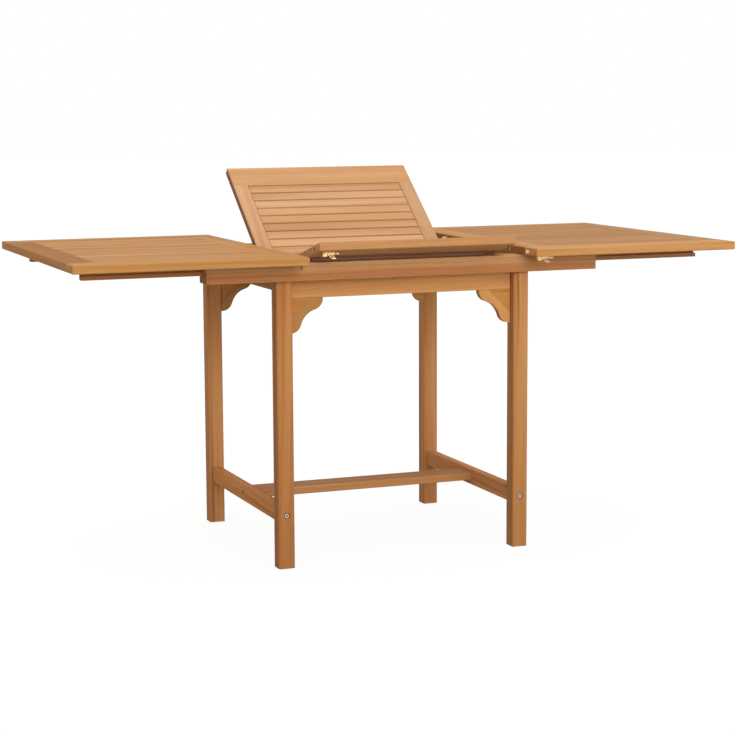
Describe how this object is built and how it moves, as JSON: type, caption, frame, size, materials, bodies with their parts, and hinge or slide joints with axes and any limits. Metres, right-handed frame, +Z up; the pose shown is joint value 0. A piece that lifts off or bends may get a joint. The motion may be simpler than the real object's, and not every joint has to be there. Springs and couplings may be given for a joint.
{
  "type": "extending garden table",
  "caption": "Slatted wooden garden table whose tops slide apart on a leg frame so that a hinged leaf can unfold between them.",
  "frame": {"origin": "on the floor under the middle of the leg frame; the box's centre lies 10 mm along +X, because the right top is drawn 20 mm further out than the left", "axes": "+X along the table to the right, +Y away from the viewer across it, +Z up"},
  "size_m": [1.678, 0.8, 0.9272],
  "materials": {
    "teak_board": "oiled teak, fine straight grain, eased edges",
    "teak_slat": "oiled teak slats, each its own tone",
    "teak_leaf": "oiled teak, a little lighter and pinker",
    "teak_frame": "oiled teak, a little redder",
    "brass": "plain polished brass, lightly dulled",
    "steel": "plain zinc-plated steel"
  },
  "bodies": {
    "frame": {"apron_back": "teak_frame", "apron_front": "teak_frame", "bracket_fillers": "teak_frame", "centre_stretcher": "teak_frame", "corner_brackets": "teak_frame", "end_apron_left": "teak_frame", "end_apron_right": "teak_frame", "end_stretcher_left": "teak_frame", "end_stretcher_right": "teak_frame", "leaf_pivot_brackets": "steel", "leg_back_left": "teak_frame", "leg_back_right": "teak_frame", "leg_front_left": "teak_frame", "leg_front_right": "teak_frame", "rail_back": "teak_frame", "rail_cap_back": "teak_frame", "rail_cap_front": "teak_frame", "rail_front": "teak_frame", "runner_stop_blocks": "teak_frame"},
    "hook_back_left": {"hook_back_left": "brass"},
    "hook_back_right": {"hook_back_right": "brass"},
    "hook_front_left": {"hook_front_left": "brass"},
    "hook_front_right": {"hook_front_right": "brass"},
    "leaf_back": {"leaf_back_hinge_plates": "brass", "leaf_back_hinge_rail": "teak_leaf", "leaf_back_outer_rail": "teak_leaf", "leaf_back_slats": "teak_slat", "leaf_back_stiles": "teak_leaf", "leaf_back_studs": "brass"},
    "leaf_front": {"leaf_front_hinge_plates": "brass", "leaf_front_hinge_rail": "teak_leaf", "leaf_front_lugs": "steel", "leaf_front_outer_rail": "teak_leaf", "leaf_front_slats": "teak_slat", "leaf_front_stiles": "teak_leaf", "leaf_front_studs": "brass", "leaf_hinge_pins": "steel"},
    "left_top": {"left_top_batten": "teak_frame", "left_top_catches": "brass", "left_top_end_board_inner": "teak_board", "left_top_end_board_outer": "teak_board", "left_top_pins": "brass", "left_top_runners": "teak_frame", "left_top_side_board_back": "teak_board", "left_top_side_board_front": "teak_board", "left_top_slats": "teak_slat", "left_top_stop_cleats": "teak_frame"},
    "right_top": {"right_top_batten": "teak_frame", "right_top_end_board_inner": "teak_board", "right_top_end_board_outer": "teak_board", "right_top_hook_studs": "brass", "right_top_pins": "brass", "right_top_runners": "teak_frame", "right_top_side_board_back": "teak_board", "right_top_side_board_front": "teak_board", "right_top_slats": "teak_slat", "right_top_stop_cleats": "teak_frame"}
  },
  "joints": [
    {"name": "left_top_slide", "type": "slide", "parent": "frame", "child": "left_top", "axis": [1, 0, 0], "range_m": [-0.02, 0.0281]},
    {"name": "right_top_slide", "type": "slide", "parent": "frame", "child": "right_top", "axis": [-1, 0, 0], "range_m": [0, 0.0481]},
    {"name": "leaf_tilt", "type": "hinge", "parent": "frame", "child": "leaf_front", "pos_m": [0, -0.266, 0.716], "axis": [1, 0, 0], "range_deg": [-33.51, 14.35]},
    {"name": "leaf_unfold", "type": "hinge", "parent": "leaf_front", "child": "leaf_back", "pos_m": [0, 0.00016, 0.68324], "axis": [-1, 0, 0], "range_deg": [-121.9, 52.1]},
    {"name": "hook_front_left_swing", "type": "hinge", "parent": "leaf_front", "child": "hook_front_left", "pos_m": [-0.232, -0.36928, 0.75213], "axis": [0, 0.247, 0.969], "range_deg": [0, 180]},
    {"name": "hook_back_left_swing", "type": "hinge", "parent": "leaf_back", "child": "hook_back_left", "pos_m": [-0.232, 0.31148, 0.89373], "axis": [0, 0.6129, -0.7902], "range_deg": [0, 180]},
    {"name": "hook_front_right_swing", "type": "hinge", "parent": "right_top", "child": "hook_front_right", "pos_m": [0.317, -0.375, 0.7255], "axis": [0, 0, 1], "range_deg": [0, 180]},
    {"name": "hook_back_right_swing", "type": "hinge", "parent": "right_top", "child": "hook_back_right", "pos_m": [0.317, 0.375, 0.7255], "axis": [0, 0, -1], "range_deg": [0, 180]}
  ],
  "couplings": [
    {"joint": "leaf_tilt", "follows": "leaf_unfold", "ratio": 0.27447}
  ]
}
